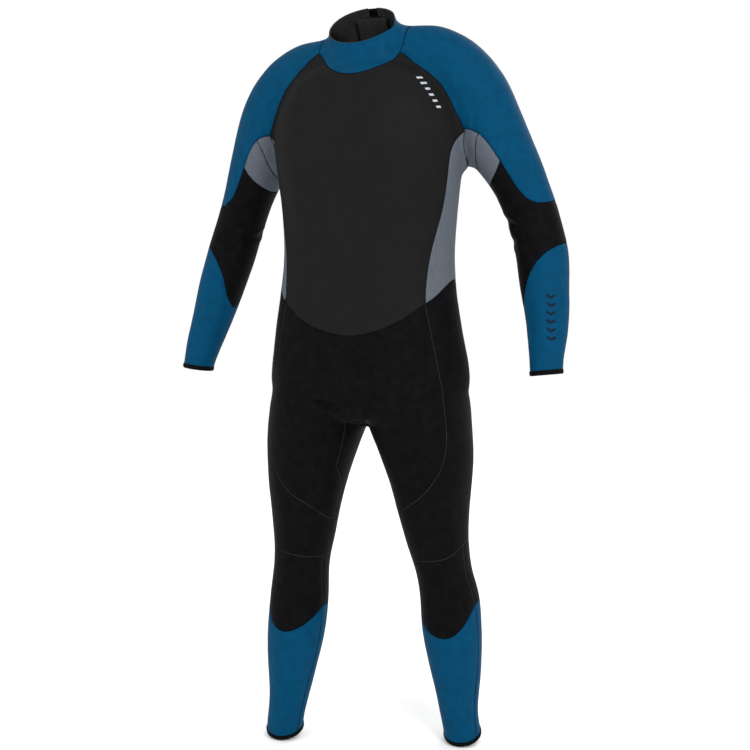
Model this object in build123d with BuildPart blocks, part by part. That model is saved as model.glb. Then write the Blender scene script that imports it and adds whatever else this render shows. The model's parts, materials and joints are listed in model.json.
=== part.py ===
"""A full-length neoprene wetsuit with a back zip, standing as if worn.

Frame: +Z up, the wearer faces -Y, and the wearer's left is +X. The origin lies midway
between the ankle hems. The legs stand a little apart, the left one half a stride back.
Every panel is a thin shell: one hollow body is lofted through the wearer's sections, then
seams part it into the panels that are sewn together.
"""

import os
from math import asin, cos, degrees, pi, radians, sin, sqrt

from build123d import *

os.makedirs("parts", exist_ok=True)

# ---- driving dimensions (mm) ------------------------------------------------------
SKIN = 3.0  # neoprene thickness
STRIDE = 48.0  # how far each ankle stands in front of or behind the crotch
CROTCH_Z = 655.0
HEM = 8.0  # height of the bound edge at a wrist or an ankle
CRUMB = 100.0  # smaller scraps between two seams are left away, in mm3
REACH = 260.0  # half the depth of a cutting prism, past the body both ways
SECTION_POINTS = 8  # points on the closed curve of one body section
NECK_END = 6.0  # the collar runs this far past the last trunk section
OPENING = 15.0  # how far the hollow runs past the sections, to open the ends

# Sections of the trunk: y, z, half width, half depth, forward tilt in degrees.
TRUNK = [
    (8, 655, 150, 84, 0),
    (6, 705, 202, 129, 0),
    (8, 780, 199, 125, 0),
    (4, 870, 184, 114, 0),
    (11.5, 960, 174, 116.5, 0),
    (17.8, 1050, 177, 124.8, 0),
    (17.3, 1130, 187, 127.3, 0),
    (13.7, 1210, 190, 122.7, 0),
    (12.9, 1270, 172, 110.9, 0),
    (14.5, 1318, 132, 94.5, 0),
    (10.8, 1346, 90, 82, 12),
    (1.7, 1376, 71, 75, 24),
    (-4.6, 1399, 65, 69, 35),
]
# Sections of the left arm, from the root of the neck to the wrist: x, y, z, half
# thickness in the plane of the arm, half thickness from front to back.
ARM = [
    (50, 16, 1334, 54, 56),
    (110, 24, 1322, 56, 57),
    (165, 38, 1298, 60, 61),
    (205, 50, 1255, 65, 67),
    (238, 62, 1195, 64, 67),
    (280, 76, 1115, 53, 57),
    (314, 80, 1030, 48.5, 51),
    (330, 70, 975, 49.5, 52),
    (344, 45, 905, 45.5, 49),
    (358, 10, 820, 37, 40),
    (365, -24, 748, 30, 32.5),
]
# Sections of the left leg, from the hip to the ankle, before the stride: x, y, z, half
# width, half depth.
LEG = [
    (92, 8, 745, 92, 104),
    (98, 8, 690, 103, 116),
    (110, 4, 630, 98, 108),
    (123, 2, 560, 86, 93),
    (131, 0, 470, 70, 75),
    (137, 6, 400, 60.5, 65),
    (144, 12, 350, 56, 60),
    (151, 20, 300, 58, 62),
    (155, 20, 240, 60, 64),
    (161, 16, 160, 54, 57),
    (169, 8, 60, 39.5, 42),
    (176, 10, 0, 37.5, 40),
]
ANKLE_TILT = 16.0  # an ankle hem dips over the instep
WRIST_AXIS = (0.12, -0.1, -1.0)  # the direction in which the left wrist opens
ARM_DROP = {1: -4.0, -1: 11.0}  # how much lower the left and the right wrist hang
ARM_DROP_TOP, ARM_DROP_END = 1195.0, 748.0  # the heights between which the drop builds up
SHOULDER_RISE = {1: 24.0, -1: 6.0}  # how much higher the left and the right shoulder stand
SHOULDER_TOP = 1298.0  # a shoulder has risen all the way from this height on

# The spine seam is one circular arc in the plane x = 0, so the zip slides along it.
SPINE_RADIUS = 640.0
SPINE_Y = -495.0
SPINE_Z = 1106.0
NECK_Y, NECK_Z, NECK_TILT = -8.0, 1404.0, 35.0  # middle of the neck opening


def spine_angle(z):
    """The angle at the spine's centre from straight back up to the height z."""
    return degrees(asin((z - SPINE_Z) / SPINE_RADIUS))


def spine_plane(angle, radius=SPINE_RADIUS):
    """A plane on the spine arc, x across the back, y up along it and z outwards."""
    back = Vector(0, cos(radians(angle)), sin(radians(angle)))
    origin = Vector(0, SPINE_Y, SPINE_Z) + back * radius
    return Plane(origin=origin, x_dir=(-1, 0, 0), z_dir=back)


def save(part, node):
    """Label a finished piece and write it to its own STEP file."""
    part.label = node
    export_step(part, f"parts/{node}.step")


def save_pair(part, name):
    """Write the solids of a symmetric pair as a left and a right node."""
    pieces = [s for s in part.solids() if s.volume > CRUMB]
    for side, sign in (("left", 1), ("right", -1)):
        with BuildPart() as piece:
            add([s for s in pieces if s.center().X * sign > 0])
        save(piece.part, f"{side}_{name}")


# ---- the hollow body --------------------------------------------------------------
def section(plane, half_x, half_y):
    """One closed, smooth body section on its plane."""
    steps = [2 * pi * k / SECTION_POINTS for k in range(SECTION_POINTS)]
    with BuildSketch(plane) as outline:
        with BuildLine():
            Spline([(half_x * cos(a), half_y * sin(a)) for a in steps], periodic=True)
        make_face()
    return outline.sketch


def stride_at(side, z):
    """How far back the leg on one side has swung at the height z."""
    return side * STRIDE * max(0.0, CROTCH_Z - z) / CROTCH_Z


def skinned(rings, end):
    """A smooth solid through rings, cut off square at the plane end if there is one."""
    with BuildPart() as solid:
        loft(rings, clean=False)
        if end:
            split(bisect_by=end, keep=Keep.BOTTOM)
    return solid.part


def trunk(inset, open_ended):
    """The trunk and neck, smaller by inset, up to the opening or on past it."""
    rings = []
    for y, z, half_x, half_y, tilt in TRUNK:
        slope, rise = cos(radians(tilt)), sin(radians(tilt))
        plane = Plane(origin=(0, y, z), x_dir=(0, -slope, -rise), z_dir=(0, -rise, slope))
        rings.append(section(plane, half_y - inset, half_x - inset))
    rings.append(section(plane.offset(OPENING), half_y - inset, half_x - inset))
    return skinned(rings, None if open_ended else plane.offset(NECK_END))


def hanging(side, z):
    """The height of a point of one arm, with its share of the drop or of the rise."""
    drop = max(0.0, (ARM_DROP_TOP - z) / (ARM_DROP_TOP - ARM_DROP_END))
    rise = min(1.0, max(0.0, (z - ARM_DROP_TOP) / (SHOULDER_TOP - ARM_DROP_TOP)))
    return z - ARM_DROP[side] * drop + SHOULDER_RISE[side] * rise


def arm(side, inset, open_ended):
    """One arm: side is 1 for the left and -1 for the right."""
    middles = [Vector(side * x, y, hanging(side, z)) for x, y, z, _, _ in ARM]
    rings = []
    for i, (_, _, _, half_x, half_y) in enumerate(ARM):
        along = middles[min(i + 1, len(ARM) - 1)] - middles[max(i - 1, 0)]
        if i == len(ARM) - 1:
            along = Vector(side * WRIST_AXIS[0], WRIST_AXIS[1], WRIST_AXIS[2])
        along = along.normalized()
        plane = Plane(origin=middles[i], x_dir=Vector(0, 1, 0) - along * along.Y, z_dir=along)
        rings.append(section(plane, half_y - inset, half_x - inset))
    rings.append(section(plane.offset(OPENING), half_y - inset, half_x - inset))
    return skinned(rings, None if open_ended else plane)


def leg(side, inset, open_ended):
    """One leg, swung by its half of the stride."""
    rings = []
    for i, (x, y, z, half_x, half_y) in enumerate(LEG):
        tilt = radians(ANKLE_TILT if i == len(LEG) - 1 else 0.0)
        plane = Plane(
            origin=(side * x, y + stride_at(side, z), z),
            x_dir=(0, -cos(tilt), -sin(tilt)),
            z_dir=(0, sin(tilt), -cos(tilt)),
        )
        rings.append(section(plane, half_y - inset, half_x - inset))
    rings.append(section(plane.offset(OPENING), half_y - inset, half_x - inset))
    return skinned(rings, None if open_ended else plane)


def whole_body(inset, open_ended):
    """Trunk, arms and legs as one solid."""
    with BuildPart() as solid:
        add(trunk(inset, open_ended))
        for side in (1, -1):
            add(arm(side, inset, open_ended))
            add(leg(side, inset, open_ended))
    return solid.part


with BuildPart() as suit:
    add(whole_body(0.0, open_ended=False))
    add(whole_body(SKIN, open_ended=True), mode=Mode.SUBTRACT)


# ---- seams ------------------------------------------------------------------------
def part_off(shell, cutter):
    """Part a shell along a cutter: the piece inside it, and the rest."""
    with BuildPart() as piece:
        add(shell)
        add(cutter, mode=Mode.INTERSECT)
    with BuildPart() as rest:
        add(shell)
        add(cutter, mode=Mode.SUBTRACT)
    return piece.part, rest.part


def front_cutter(seam, border, low_y=-REACH, high_y=REACH):
    """A prism on both sides of the suit, seen from the front.

    seam holds the (x, z) points of the sewn edge, which is a smooth curve, and border
    the corners that close the outline away from the cloth.
    """
    with BuildPart() as prism:
        with BuildSketch(Plane.XZ.offset(-high_y)):
            with BuildLine():
                Spline(*seam)
                Polyline(seam[-1], *border, seam[0])
            make_face()
        extrude(amount=high_y - low_y)
        mirror(about=Plane.YZ)
    return prism.part


# the collar stands on a seam round the root of the neck, low in front and higher behind
COLLAR_RIGHT_X, COLLAR_LEFT_X, COLLAR_SIDE_Z = -77.0, 94.0, 1357.0
COLLAR_FRONT, COLLAR_BACK = (9.0, 1306.0), (9.0, 1372.0)
COLLAR_TOP_Z = 1500.0
with BuildPart() as collar_cutter:
    for middle, direction in ((COLLAR_FRONT, 1), (COLLAR_BACK, -1)):
        with BuildSketch(Plane.XZ):
            with BuildLine():
                ThreePointArc((COLLAR_RIGHT_X, COLLAR_SIDE_Z), middle, (COLLAR_LEFT_X, COLLAR_SIDE_Z))
                Polyline(
                    (COLLAR_LEFT_X, COLLAR_SIDE_Z), (COLLAR_LEFT_X, COLLAR_TOP_Z),
                    (COLLAR_RIGHT_X, COLLAR_TOP_Z), (COLLAR_RIGHT_X, COLLAR_SIDE_Z),
                )
            make_face()
        extrude(amount=direction * REACH)
collar_ring, suit_rest = part_off(suit.part, collar_cutter.part)

# raglan seams part each sleeve from the trunk, front and back
RAGLAN = [(72, 1358), (125, 1317), (163, 1278), (185, 1240), (200, 1203)]
sleeve_cutter = front_cutter(
    RAGLAN,
    [(193, 1142), (215, 1050), (232, 700), (480, 700), (480, 1460), (72, 1460)],
)
sleeves, trunk_rest = part_off(suit_rest, sleeve_cutter)

# the chest panel: a smooth round hem at the waist and a slim line down each side
SIDE_SEAM = [(200, 1203), (183, 1175), (177, 1140), (173, 1107), (164, 1050), (150, 985)]
SIDE_SEAM += [(144, 934), (143, 882)]
HEM_LOW_Z = 823.0
with BuildPart() as middle_cutter:
    with BuildSketch(Plane.XZ.offset(-REACH)):
        with BuildLine():
            Spline(*SIDE_SEAM)
            ThreePointArc(SIDE_SEAM[-1], (0, HEM_LOW_Z), (-143, 882))
            Spline(*[(-x, z) for x, z in reversed(SIDE_SEAM)])
            Polyline((-200, 1203), (-200, 1460), (200, 1460), (200, 1203))
        make_face()
    extrude(amount=2 * REACH)
middle, sides_rest = part_off(trunk_rest, middle_cutter.part)
with BuildPart() as chest_panel:
    add([s for s in middle.solids() if s.center().Y < 0])
with BuildPart() as back_yoke:
    add([s for s in middle.solids() if s.center().Y > 0])

# grey side panels run from the armpit to the hip bone
side_cutter = front_cutter(
    [(143, 882), (163, 901), (176, 923), (190, 952), (215, 1010)],
    [(260, 1010), (260, 1240), (100, 1240), (100, 882)],
)
side_panels, lower_rest = part_off(sides_rest, side_cutter)

# each sleeve: blue over the shoulder, grey under the arm, a black elbow, a blue forearm
SLEEVE_HEM = [(186, 1206), (228, 1196), (266, 1144), (287, 1107), (304, 1082), (328, 1067)]
SLEEVE_HEM += [(352, 1070), (372, 1090), (390, 1120)]
shoulder_cutter = front_cutter(
    SLEEVE_HEM, [(480, 1120), (480, 1460), (40, 1460), (40, 1206)]
)
shoulders, arm_rest = part_off(sleeves, shoulder_cutter)
UNDERARM = [(270, 1150), (258, 1128), (243, 1108), (224, 1090), (200, 1078)]
underarm_cutter = front_cutter(UNDERARM, [(150, 1078), (150, 1240), (270, 1240)])
underarms, arm_rest = part_off(arm_rest, underarm_cutter)
gusset_cutter = front_cutter(
    [(230, 1204), (221, 1178), (216, 1150), (210, 1100)], [(150, 1100), (150, 1204)]
)
armpit_gussets, underarm_panels = part_off(underarms, gusset_cutter)
FOREARM_TOP = [(400, 1004), (375, 991), (350, 975), (330, 950), (317, 918), (311, 880)]
FOREARM_TOP += [(309, 845), (318, 815), (300, 790)]
forearm_cutter = front_cutter(FOREARM_TOP, [(250, 790), (250, 700), (480, 700), (480, 1004)])
forearms, elbow_panels = part_off(arm_rest, forearm_cutter)


def end_band(middle, outwards, half):
    """A block around the last few millimetres of a limb, which the hem binds."""
    plane = Plane(origin=middle, z_dir=outwards)
    with BuildPart() as block:
        with BuildSketch(plane.offset(-HEM)):
            Rectangle(2 * half, 2 * half)
        extrude(amount=4 * HEM)
    return block.part


with BuildPart() as wrist_bands:
    for side in (1, -1):
        wrist = (side * ARM[-1][0], ARM[-1][1], hanging(side, ARM[-1][2]))
        add(end_band(wrist, (side * WRIST_AXIS[0], WRIST_AXIS[1], WRIST_AXIS[2]), 60))
wrist_hems, forearm_panels = part_off(forearms, wrist_bands.part)

# the lower leg starts under the knee panel, in a round dip over the shin
SHIN_TOP = [(80, 320), (90, 275), (108, 243), (132, 226), (158, 219), (182, 229)]
SHIN_TOP += [(201, 256), (212, 290), (228, 330)]
lower_leg_cutter = front_cutter(SHIN_TOP, [(300, 330), (300, -60), (1, -60), (1, 320)])
lower_legs, upper_rest = part_off(lower_rest, lower_leg_cutter)
KNEE_TOP = [(50, 360), (80, 368), (112, 376), (150, 382), (175, 389), (190, 402), (205, 430)]
knee_cutter = front_cutter(KNEE_TOP, [(300, 430), (300, 150), (1, 150), (1, 360)])
knees, hips_rest = part_off(upper_rest, knee_cutter)

with BuildPart() as ankle_bands:
    for side in (1, -1):
        x, y, z = LEG[-1][:3]
        tilt = radians(ANKLE_TILT)
        add(end_band((side * x, y + stride_at(side, z), z), (0, sin(tilt), -cos(tilt)), 60))
ankle_hems, lower_legs = part_off(lower_legs, ankle_bands.part)

# a seam down the inside and the outside of each leg parts its front from its back
LEG_SEAM = [(-34, 560), (0, 514), (-8, 440), (-8, 366), (4, 300), (6, 240), (4, 160), (-4, 60)]
LEG_SEAM += [(-2, -60)]


def leg_front(side):
    """What lies in front of the leg seam on one side, as seen along x."""
    swung = [(y + stride_at(side, z), z) for y, z in LEG_SEAM]
    with BuildPart() as prism:
        with BuildSketch(Plane.YZ if side > 0 else Plane.YZ.offset(-300)):
            with BuildLine():
                Spline(*swung)
                Polyline(swung[-1], (-300, -60), (-300, swung[0][1]), swung[0])
            make_face()
        extrude(amount=300)
    return prism.part


with BuildPart() as leg_front_cutter:
    add(leg_front(1))
    add(leg_front(-1))
shin_panels, calf_panels = part_off(lower_legs, leg_front_cutter.part)
knee_panels, knee_backs = part_off(knees, leg_front_cutter.part)

# the outer thigh panel lies outside a seam that sweeps from the hip to the inner knee
THIGH_SEAM = [(143, 882), (163, 781), (174, 721), (183, 662), (184, 613), (176, 574)]
THIGH_SEAM += [(157, 540), (127, 508), (90, 480), (62, 440), (40, 420)]
inside_thigh_cutter = front_cutter(THIGH_SEAM, [(-1, 420), (-1, 1000), (143, 1000)])
inside_thighs, outer_thigh_panels = part_off(hips_rest, inside_thigh_cutter)


GUSSET_TOP = 661.0


def gusset_leaf(side):
    """The leaf of the crotch gusset that runs down inside one thigh."""
    front = [(-128, GUSSET_TOP), (-116, 645), (-72, 588), (-30, 545), (0, 500)]
    rear = [(0, 500), (52, 548), (92, 590), (126, 645), (138, GUSSET_TOP)]
    with BuildPart() as leaf:
        with BuildSketch(Plane.YZ if side > 0 else Plane.YZ.offset(-70)):
            with BuildLine():
                Spline(*[(y + stride_at(side, z), z) for y, z in front])
                Spline(*[(y + stride_at(side, z), z) for y, z in rear])
                Line((138, GUSSET_TOP), (-128, GUSSET_TOP))
            make_face()
        extrude(amount=70)
    return leaf.part


with BuildPart() as gusset_cutter_low:
    add(gusset_leaf(1))
    add(gusset_leaf(-1))
    add(
        front_cutter([(20, 700), (30, 620), (54, 545), (74, 480)], [(-1, 480), (-1, 700)]),
        mode=Mode.INTERSECT,
    )
crotch_gusset, inside_thighs = part_off(inside_thighs, gusset_cutter_low.part)


def thigh_front(side):
    """What lies in front of the seam inside one thigh."""
    seam = [(0, 700), (0, 514), (-8, 440), (-8, 366)]
    swung = [(y + stride_at(side, z), z) for y, z in seam]
    with BuildPart() as prism:
        with BuildSketch(Plane.YZ if side > 0 else Plane.YZ.offset(-300)):
            with BuildLine():
                Polyline(*swung, (-300, 366), (-300, 1000), (0, 1000), swung[0])
            make_face()
        extrude(amount=300)
    return prism.part


with BuildPart() as thigh_front_cutter:
    add(thigh_front(1))
    add(thigh_front(-1))
lower_front_panel, seat = part_off(inside_thighs, thigh_front_cutter.part)

# ---- the back opening -------------------------------------------------------------
SLOT = 18.0  # gap between the panel edges, which the zip fills
ZIP_LOW_Z = 925.0
SLIDER_Z = 1404.0  # middle of the slider when the zip is closed
SPINE_AXIS = Axis((0, SPINE_Y, SPINE_Z), (1, 0, 0))
with BuildPart() as slot:
    with Locations((0, 130, (ZIP_LOW_Z - 5 + 1600) / 2)):
        Box(SLOT, 260, 1600 - ZIP_LOW_Z + 5)
_, back_yoke_open = part_off(back_yoke.part, slot.part)
_, collar_open = part_off(collar_ring, slot.part)


def across_spine(angle):
    """A plane through the spine's centre: x across the back, y out along the radius."""
    turn = radians(angle)
    return Plane(
        origin=(0, SPINE_Y, SPINE_Z), x_dir=(1, 0, 0), z_dir=(0, -sin(turn), cos(turn))
    )


def strip(low_x, high_x, low_r, high_r, low_angle, high_angle):
    """A flat strip that follows the spine arc; radii count inwards from the skin."""
    with BuildPart() as band:
        with BuildSketch(across_spine(low_angle)):
            with Locations(((low_x + high_x) / 2, SPINE_RADIUS + (low_r + high_r) / 2)):
                Rectangle(high_x - low_x, high_r - low_r)
        revolve(axis=SPINE_AXIS, revolution_arc=high_angle - low_angle)
    return band.part


MM = degrees(1.0 / SPINE_RADIUS)  # the angle of one millimetre along the spine
zip_low = spine_angle(ZIP_LOW_Z)
slider_angle = spine_angle(SLIDER_Z)
teeth_top = slider_angle + 5.0 * MM

TAPE_EDGE, TAPE_SIDE = 1.6, 14.0
TAPE_IN, TAPE_OUT = -6.0, -5.2
for name, side in (("left_zip_tape", 1), ("right_zip_tape", -1)):
    low_x, high_x = sorted((side * TAPE_EDGE, side * TAPE_SIDE))
    save(strip(low_x, high_x, TAPE_IN, TAPE_OUT, zip_low, slider_angle + 30 * MM), name)

# moulded teeth, gripping the tape edge, each row half a pitch from the other
PITCH, TOOTH_LONG, TOOTH_WIDE = 5.0, 2.0, 4.6
TOOTH_IN, TOOTH_OUT = -7.4, -3.8
TOOTH_OFF = 1.2  # from the middle of the chain to the middle of a tooth
tooth_count = int((teeth_top - zip_low) / (PITCH * MM)) - 1
for name, side in (("left_tooth_row", 1), ("right_tooth_row", -1)):
    start = zip_low + (5.0 + (0.0 if side > 0 else PITCH / 2)) * MM
    grip = sorted((side * (TAPE_EDGE - 0.1), side * TAPE_SIDE))
    with BuildPart() as row:
        for k in range(tooth_count):
            # world +x is local -x on a spine plane
            with Locations(spine_plane(start + k * PITCH * MM)):
                with Locations((-side * TOOTH_OFF, 0, (TOOTH_IN + TOOTH_OUT) / 2)):
                    Box(TOOTH_WIDE, TOOTH_LONG, TOOTH_OUT - TOOTH_IN)
        add(
            strip(*grip, TAPE_IN - 0.05, TAPE_OUT + 0.05, zip_low, teeth_top + 2 * MM),
            mode=Mode.SUBTRACT,
        )
    save(row.part, name)

with BuildPart(spine_plane(zip_low + 1.5 * MM)) as zip_bottom_stop:
    with Locations((0, 0, (TOOTH_IN + TOOTH_OUT) / 2)):
        Box(3.0, 3.4, TOOTH_OUT - TOOTH_IN)
save(zip_bottom_stop.part, "zip_bottom_stop")

with BuildPart(spine_plane(slider_angle + 8.5 * MM)) as zip_top_stops:
    with Locations((-4.4, 0, -4.4), (4.4, 0, -4.4)):
        Box(2.6, 2.6, 1.5)
save(zip_top_stops.part, "zip_top_stops")

# the slider: two plates joined by a wedge, with a bridge that holds the pull
SLIDER_LONG, SLIDER_WIDE = 24.0, 14.6
PLATE_OUT, PLATE_IN = -1.8, -9.6  # outer faces of the two plates
PLATE = 1.4
PULL_PIN_Y, PULL_PIN_Z = -1.0, -0.5
with BuildPart(spine_plane(slider_angle)) as zip_slider:
    for face in (PLATE_OUT - PLATE / 2, PLATE_IN + PLATE / 2):
        with Locations((0, 0, face)):
            Box(SLIDER_WIDE, SLIDER_LONG, PLATE)
    fillet(zip_slider.edges().filter_by(lambda e: abs(e.length - PLATE) < 0.01), 4.0)
    with Locations((0, 9.6, (PLATE_OUT + PLATE_IN) / 2)):
        Box(2.4, 4.6, PLATE_OUT - PLATE_IN - PLATE)
    with Locations((0, -1.0, 0.0)):
        Box(2.4, 12.0, 2 * 1.9)
    with Locations((0, PULL_PIN_Y, PULL_PIN_Z)):
        Box(3.0, 6.0, 2.4, mode=Mode.SUBTRACT)
save(zip_slider.part, "zip_slider")

# the pull: a crossbar under the bridge, two arms and a grip with a hole for a leash
PULL_LONG, PULL_WIDE, PULL_THICK = 40.0, 9.0, 1.6
LEASH_HOLE_R = 2.0
LEASH_HOLE_Y = PULL_PIN_Y - PULL_LONG + 5.0
with BuildPart(spine_plane(slider_angle)) as zip_pull:
    with Locations((0, PULL_PIN_Y - PULL_LONG / 2 + 0.8, PULL_PIN_Z)):
        Box(PULL_WIDE, PULL_LONG, PULL_THICK)
    fillet(zip_pull.edges().filter_by(lambda e: abs(e.length - PULL_THICK) < 0.01), 1.2)
    with Locations((0, PULL_PIN_Y - 5.2, PULL_PIN_Z)):
        Box(4.4, 8.8, PULL_THICK * 2, mode=Mode.SUBTRACT)
    with Locations((0, LEASH_HOLE_Y, PULL_PIN_Z)):
        Cylinder(LEASH_HOLE_R, PULL_THICK * 2, mode=Mode.SUBTRACT)
save(zip_pull.part, "zip_pull")


def arc_band(plane, out_r, thick, bend_r, low_x, high_x, length):
    """A strip bent round the neck: its outer face lies out_r above the skin."""
    def arc(radius):
        turns = [asin(x / bend_r) for x in (low_x, (low_x + high_x) / 2, high_x)]
        return [(-radius * sin(a), radius * cos(a) - bend_r) for a in turns]

    outer, inner = arc(bend_r + out_r), arc(bend_r + out_r - thick)
    with BuildPart() as band:
        with BuildSketch(plane):
            with BuildLine():
                ThreePointArc(*outer)
                Line(outer[2], inner[2])
                ThreePointArc(*reversed(inner))
                Line(inner[0], outer[0])
            make_face()
        extrude(amount=length / 2, both=True)
    return band.part


def across_back(angle):
    """A plane at a spine angle with x across the back (to the right) and y outwards."""
    turn = radians(angle)
    origin = Vector(0, SPINE_Y, SPINE_Z) + Vector(0, cos(turn), sin(turn)) * SPINE_RADIUS
    return Plane(origin=origin, x_dir=(-1, 0, 0), z_dir=(0, sin(turn), -cos(turn)))


# a fastening tab closes the collar over the top of the zip
TAB_Z = 1430.0
NECK_BEND = 64.0
tab_plane = across_back(spine_angle(TAB_Z))
save(arc_band(tab_plane, 1.2, 0.8, NECK_BEND, -25, -11, 18), "loop_patch")
save(arc_band(tab_plane, 2.2, 0.7, NECK_BEND, -24, -11.5, 17), "hook_patch")
save(arc_band(tab_plane, 4.7, 2.5, NECK_BEND, -26, 27, 25), "neck_tab")

# a soft flap behind the zip keeps it off the spine
FLAP_LOW_Z, FLAP_HIGH_Z = 938.0, 1430.0
FLAP_HALF, FLAP_OUT, FLAP_THICK, FLAP_BEND = 30.0, -12.0, 2.0, 80.0
with BuildPart() as back_flap:
    drop = FLAP_BEND - sqrt(FLAP_BEND**2 - FLAP_HALF**2)
    high = SPINE_RADIUS + FLAP_OUT
    with BuildSketch(across_spine(spine_angle(FLAP_LOW_Z))):
        with BuildLine():
            ThreePointArc((-FLAP_HALF, high - drop), (0, high), (FLAP_HALF, high - drop))
            Line((FLAP_HALF, high - drop), (FLAP_HALF, high - drop - FLAP_THICK))
            ThreePointArc(
                (FLAP_HALF, high - drop - FLAP_THICK), (0, high - FLAP_THICK),
                (-FLAP_HALF, high - drop - FLAP_THICK),
            )
            Line((-FLAP_HALF, high - drop - FLAP_THICK), (-FLAP_HALF, high - drop))
        make_face()
    revolve(
        axis=SPINE_AXIS,
        revolution_arc=spine_angle(FLAP_HIGH_Z) - spine_angle(FLAP_LOW_Z),
    )
save(back_flap.part, "back_flap")

# ---- the panels -------------------------------------------------------------------
for name, part in {
    "collar": collar_open,
    "chest_panel": chest_panel.part,
    "back_yoke": back_yoke_open,
    "lower_front_panel": lower_front_panel,
    "seat_panel": seat,
    "crotch_gusset": crotch_gusset,
}.items():
    save(part, name)
for name, part in {
    "shoulder_sleeve": shoulders,
    "armpit_gusset": armpit_gussets,
    "underarm_panel": underarm_panels,
    "elbow_panel": elbow_panels,
    "forearm_panel": forearm_panels,
    "wrist_hem": wrist_hems,
    "side_panel": side_panels,
    "outer_thigh_panel": outer_thigh_panels,
    "knee_panel": knee_panels,
    "knee_back_panel": knee_backs,
    "shin_panel": shin_panels,
    "calf_panel": calf_panels,
    "ankle_hem": ankle_hems,
}.items():
    save_pair(part, name)
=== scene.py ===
import json
from math import cos, pi, radians, sin

import bmesh
import bpy
import numpy as np
from mathutils import Matrix, Vector
from mathutils.bvhtree import BVHTree


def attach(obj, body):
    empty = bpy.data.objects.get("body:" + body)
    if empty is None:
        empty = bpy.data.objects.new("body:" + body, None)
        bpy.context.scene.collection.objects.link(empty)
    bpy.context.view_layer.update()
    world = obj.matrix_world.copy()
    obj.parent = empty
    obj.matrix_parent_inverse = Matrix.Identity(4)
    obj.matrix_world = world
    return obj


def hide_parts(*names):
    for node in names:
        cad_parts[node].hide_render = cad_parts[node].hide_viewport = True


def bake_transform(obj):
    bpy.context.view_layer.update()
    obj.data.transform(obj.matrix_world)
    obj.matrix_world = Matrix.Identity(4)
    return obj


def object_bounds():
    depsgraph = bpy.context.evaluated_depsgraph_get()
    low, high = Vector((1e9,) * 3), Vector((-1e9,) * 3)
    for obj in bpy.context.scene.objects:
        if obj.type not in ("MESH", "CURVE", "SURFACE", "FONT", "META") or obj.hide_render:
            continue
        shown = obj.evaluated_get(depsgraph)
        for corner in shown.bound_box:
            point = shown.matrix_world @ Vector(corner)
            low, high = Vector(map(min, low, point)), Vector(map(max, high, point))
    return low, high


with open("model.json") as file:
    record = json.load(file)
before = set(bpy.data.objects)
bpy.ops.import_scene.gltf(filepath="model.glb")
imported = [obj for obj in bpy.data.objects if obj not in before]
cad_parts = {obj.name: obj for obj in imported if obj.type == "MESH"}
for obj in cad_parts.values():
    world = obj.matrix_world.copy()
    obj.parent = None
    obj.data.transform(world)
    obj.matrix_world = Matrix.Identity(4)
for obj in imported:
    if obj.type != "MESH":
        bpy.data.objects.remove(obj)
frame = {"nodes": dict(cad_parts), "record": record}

CAD_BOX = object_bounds()

# ---- the wearer's shape, as in the CAD, in millimetres --------------------------------
MM = 0.001
STRIDE, CROTCH_Z = 48.0, 655.0
TRUNK = [  # y, z, half width, half depth, forward tilt
    (8, 655, 150, 84, 0),
    (6, 705, 202, 129, 0),
    (8, 780, 199, 125, 0),
    (4, 870, 184, 114, 0),
    (11.5, 960, 174, 116.5, 0),
    (17.8, 1050, 177, 124.8, 0),
    (17.3, 1130, 187, 127.3, 0),
    (13.7, 1210, 190, 122.7, 0),
    (12.9, 1270, 172, 110.9, 0),
    (14.5, 1318, 132, 94.5, 0),
    (10.8, 1346, 90, 82, 12),
    (1.7, 1376, 71, 75, 24),
    (-4.6, 1399, 65, 69, 35),
]
ARM = [  # x, y, z, half thickness across, half thickness from front to back
    (50, 16, 1334, 54, 56),
    (110, 24, 1322, 56, 57),
    (165, 38, 1298, 60, 61),
    (205, 50, 1255, 65, 67),
    (238, 62, 1195, 64, 67),
    (280, 76, 1115, 53, 57),
    (314, 80, 1030, 48.5, 51),
    (330, 70, 975, 49.5, 52),
    (344, 45, 905, 45.5, 49),
    (358, 10, 820, 37, 40),
    (365, -24, 748, 30, 32.5),
]
LEG = [  # x, y before the stride, z, half width, half depth
    (92, 8, 745, 92, 104),
    (98, 8, 690, 103, 116),
    (110, 4, 630, 98, 108),
    (123, 2, 560, 86, 93),
    (131, 0, 470, 70, 75),
    (137, 6, 400, 60.5, 65),
    (144, 12, 350, 56, 60),
    (151, 20, 300, 58, 62),
    (155, 20, 240, 60, 64),
    (161, 16, 160, 54, 57),
    (169, 8, 60, 39.5, 42),
    (176, 10, 0, 37.5, 40),
]
WRIST_AXIS = Vector((0.12, -0.1, -1.0)).normalized()
ARM_DROP = {1: -4.0, -1: 11.0}  # how much lower the left and the right wrist hang
ARM_DROP_TOP, ARM_DROP_END = 1195.0, 748.0
SHOULDER_RISE = {1: 24.0, -1: 6.0}  # how much higher the left and the right shoulder stand
SHOULDER_TOP = 1298.0
ANKLE_TILT = radians(16.0)
NECK_TILT = radians(35.0)
NECK_END = 6.0  # the collar's top lies this far past the last trunk section
PAST = 16.0  # how far a limb is drawn past its opening before it is cut off
SLOT_HALF, SLOT_LOW_Z = 9.0, 920.0  # the gap in the back that the zip fills
HEM = 8.0

SIDES = (("left", 1), ("right", -1))
ROUND = 96  # points round a limb
STEP = 6.0  # distance between rings, in millimetres


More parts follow.
